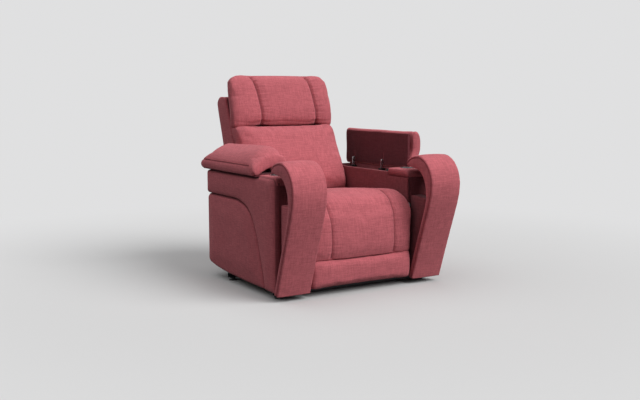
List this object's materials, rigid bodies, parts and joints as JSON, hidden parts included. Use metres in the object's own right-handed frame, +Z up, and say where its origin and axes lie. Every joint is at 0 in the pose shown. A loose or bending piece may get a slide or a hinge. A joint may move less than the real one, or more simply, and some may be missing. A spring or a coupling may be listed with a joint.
{
  "type": "cinema recliner seat",
  "caption": "Power recliner with padded scroll-front arms, cup holders, storage under lift-up arm lids, a lifting footrest, a reclining back and a tilting headrest.",
  "frame": {"origin": "on the floor, under the middle of the box that holds the whole chair as stored, with the right lid open", "axes": "+X to the viewer's right when facing the chair, +Y to the back, +Z up"},
  "size_m": [1.021, 1.128, 1.0355],
  "materials": {
    "rose_fabric": "matte",
    "lining": "matte",
    "webbing": "matte",
    "plywood": "matte",
    "black_steel": "satin",
    "bright_steel": "satin",
    "stainless": "satin",
    "black_plastic": "satin",
    "button_plastic": "satin",
    "rubber": "matte"
  },
  "bodies": {
    "base": {"base_rails": "black_steel", "base_cross_tubes": "black_steel", "floor_glides": "black_plastic", "power_inlet": "black_plastic", "arm_frame_left": "plywood", "arm_band_left": "rose_fabric", "arm_side_pad_left": "rose_fabric", "arm_inner_pad_left": "rose_fabric", "arm_rear_pad_left": "rose_fabric", "arm_deck_left": "rose_fabric", "cup_holder_left": "stainless", "scroll_left": "rose_fabric", "scroll_filler_left": "rose_fabric", "storage_bin_left": "black_plastic", "arm_frame_right": "plywood", "arm_band_right": "rose_fabric", "arm_side_pad_right": "rose_fabric", "arm_inner_pad_right": "rose_fabric", "arm_rear_pad_right": "rose_fabric", "arm_deck_right": "rose_fabric", "cup_holder_right": "stainless", "scroll_right": "rose_fabric", "scroll_filler_right": "rose_fabric", "storage_bin_right": "black_plastic", "lid_hinge_blocks": "black_plastic", "lid_hinge_arms": "bright_steel", "lid_bumpers": "rubber", "control_panel": "black_plastic"},
    "lid_left": {"lid_board_left": "lining", "lid_pad_left": "rose_fabric"},
    "lid_right": {"lid_board_right": "lining", "lid_pad_right": "rose_fabric"},
    "button_recline": {"button_recline": "button_plastic"},
    "button_upright": {"button_upright": "button_plastic"},
    "button_head_up": {"button_head_up": "button_plastic"},
    "button_head_down": {"button_head_down": "button_plastic"},
    "seat": {"seat_side_plates": "black_steel", "seat_cross_tubes": "black_steel", "seat_webbing": "webbing", "seat_cushion": "rose_fabric", "seat_runners": "black_plastic", "footrest_actuator": "black_plastic", "recline_actuator": "black_plastic", "pivot_pins": "bright_steel"},
    "footrest": {"footrest_board": "plywood", "footrest_brackets": "bright_steel", "chaise_pad": "rose_fabric", "footrest_lower_pad": "rose_fabric"},
    "crank": {"crank_links": "bright_steel"},
    "coupler": {"coupler_links": "bright_steel"},
    "footrest_drive": {"footrest_drive_block": "bright_steel"},
    "recline_drive": {"recline_drive_block": "bright_steel"},
    "back": {"back_frame": "black_steel", "back_webbing": "webbing", "back_cushion": "rose_fabric", "back_shell": "rose_fabric", "headrest_motor": "black_plastic"},
    "headrest": {"headrest_frame": "plywood", "headrest_pad": "rose_fabric"}
  },
  "joints": [
    {"name": "seat_glide", "type": "slide", "parent": "base", "child": "seat", "axis": [0, -1, 0], "range_m": [0, 0.08]},
    {"name": "back_recline", "type": "hinge", "parent": "seat", "child": "back", "pos_m": [-0.0355, 0.183, 0.345], "axis": [-1, 0, 0], "range_deg": [0, 38]},
    {"name": "recline_drive_slide", "type": "slide", "parent": "seat", "child": "recline_drive", "axis": [0, 1, 0], "range_m": [0, 0.11]},
    {"name": "headrest_tilt", "type": "hinge", "parent": "back", "child": "headrest", "pos_m": [-0.0355, 0.359, 0.758], "axis": [1, 0, 0], "range_deg": [0, 38]},
    {"name": "footrest_lift", "type": "hinge", "parent": "seat", "child": "footrest", "pos_m": [-0.0355, -0.401, 0.4], "axis": [-1, 0, 0], "range_deg": [0, 86]},
    {"name": "crank_turn", "type": "hinge", "parent": "seat", "child": "crank", "pos_m": [-0.0355, -0.243, 0.36], "axis": [-1, 0, 0], "range_deg": [0, 86]},
    {"name": "coupler_turn", "type": "hinge", "parent": "crank", "child": "coupler", "pos_m": [-0.0355, -0.179, 0.09], "axis": [1, 0, 0], "range_deg": [0, 86]},
    {"name": "footrest_drive_slide", "type": "slide", "parent": "seat", "child": "footrest_drive", "axis": [0, -1, 0], "range_m": [0, 0.12]},
    {"name": "lid_left_hinge", "type": "hinge", "parent": "base", "child": "lid_left", "pos_m": [-0.4895, 0.0815, 0.588], "axis": [0, -1, 0], "range_deg": [0, 90]},
    {"name": "lid_right_hinge", "type": "hinge", "parent": "base", "child": "lid_right", "pos_m": [0.4185, 0.0815, 0.588], "axis": [0, -1, 0], "range_deg": [0, 90]},
    {"name": "button_recline_press", "type": "slide", "parent": "base", "child": "button_recline", "axis": [-1, 0, 0], "range_m": [0, 0.0015], "stiffness_N_per_m": 300},
    {"name": "button_upright_press", "type": "slide", "parent": "base", "child": "button_upright", "axis": [-1, 0, 0], "range_m": [0, 0.0015], "stiffness_N_per_m": 300},
    {"name": "button_head_up_press", "type": "slide", "parent": "base", "child": "button_head_up", "axis": [-1, 0, 0], "range_m": [0, 0.0015], "stiffness_N_per_m": 300},
    {"name": "button_head_down_press", "type": "slide", "parent": "base", "child": "button_head_down", "axis": [-1, 0, 0], "range_m": [0, 0.0015], "stiffness_N_per_m": 300}
  ],
  "couplings": [
    {"joint": "back_recline", "follows": "seat_glide", "rad_per_m": 8.2903},
    {"joint": "recline_drive_slide", "follows": "seat_glide", "ratio": 1.375},
    {"joint": "crank_turn", "follows": "footrest_lift", "ratio": 1},
    {"joint": "coupler_turn", "follows": "footrest_lift", "ratio": 1},
    {"joint": "footrest_drive_slide", "follows": "footrest_lift", "m_per_rad": 0.079948}
  ]
}
